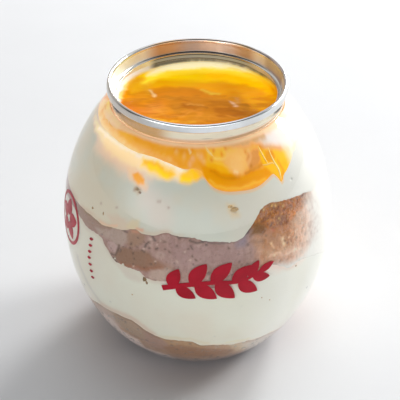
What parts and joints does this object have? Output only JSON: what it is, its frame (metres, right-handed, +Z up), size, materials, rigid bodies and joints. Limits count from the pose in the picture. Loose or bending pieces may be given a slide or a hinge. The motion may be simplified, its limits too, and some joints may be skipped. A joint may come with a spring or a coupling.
{
  "type": "jar cake",
  "caption": "Dessert in a clear ball-shaped plastic can with an open metal ring: layers of sponge and cream with mango puree on top.",
  "frame": {"origin": "middle of the base, on the surface that the can stands on", "axes": "+Z up along the can's axis, -Y towards the front with the printed mark, +X to the right seen from the front"},
  "size_m": [0.0946, 0.0946, 0.1],
  "materials": {
    "clear_can": "clear and glossy, 0.5 mm wall",
    "ring_metal": "bright rolled sheet",
    "sponge": "moist open crumb, browned at its upper edge",
    "sponge_base": "moist open crumb",
    "cream": "smooth cream pressed against the wall, slightly shiny",
    "mango": "wet, glossy, translucent puree",
    "print": "ink printed on the can"
  },
  "bodies": {
    "root": {"can": "clear_can", "rim_ring": "ring_metal", "sponge_bottom": "sponge_base", "cream_lower": "cream", "sponge_middle": "sponge", "cream_upper": "cream", "mango_top": "mango"}
  },
  "joints": []
}
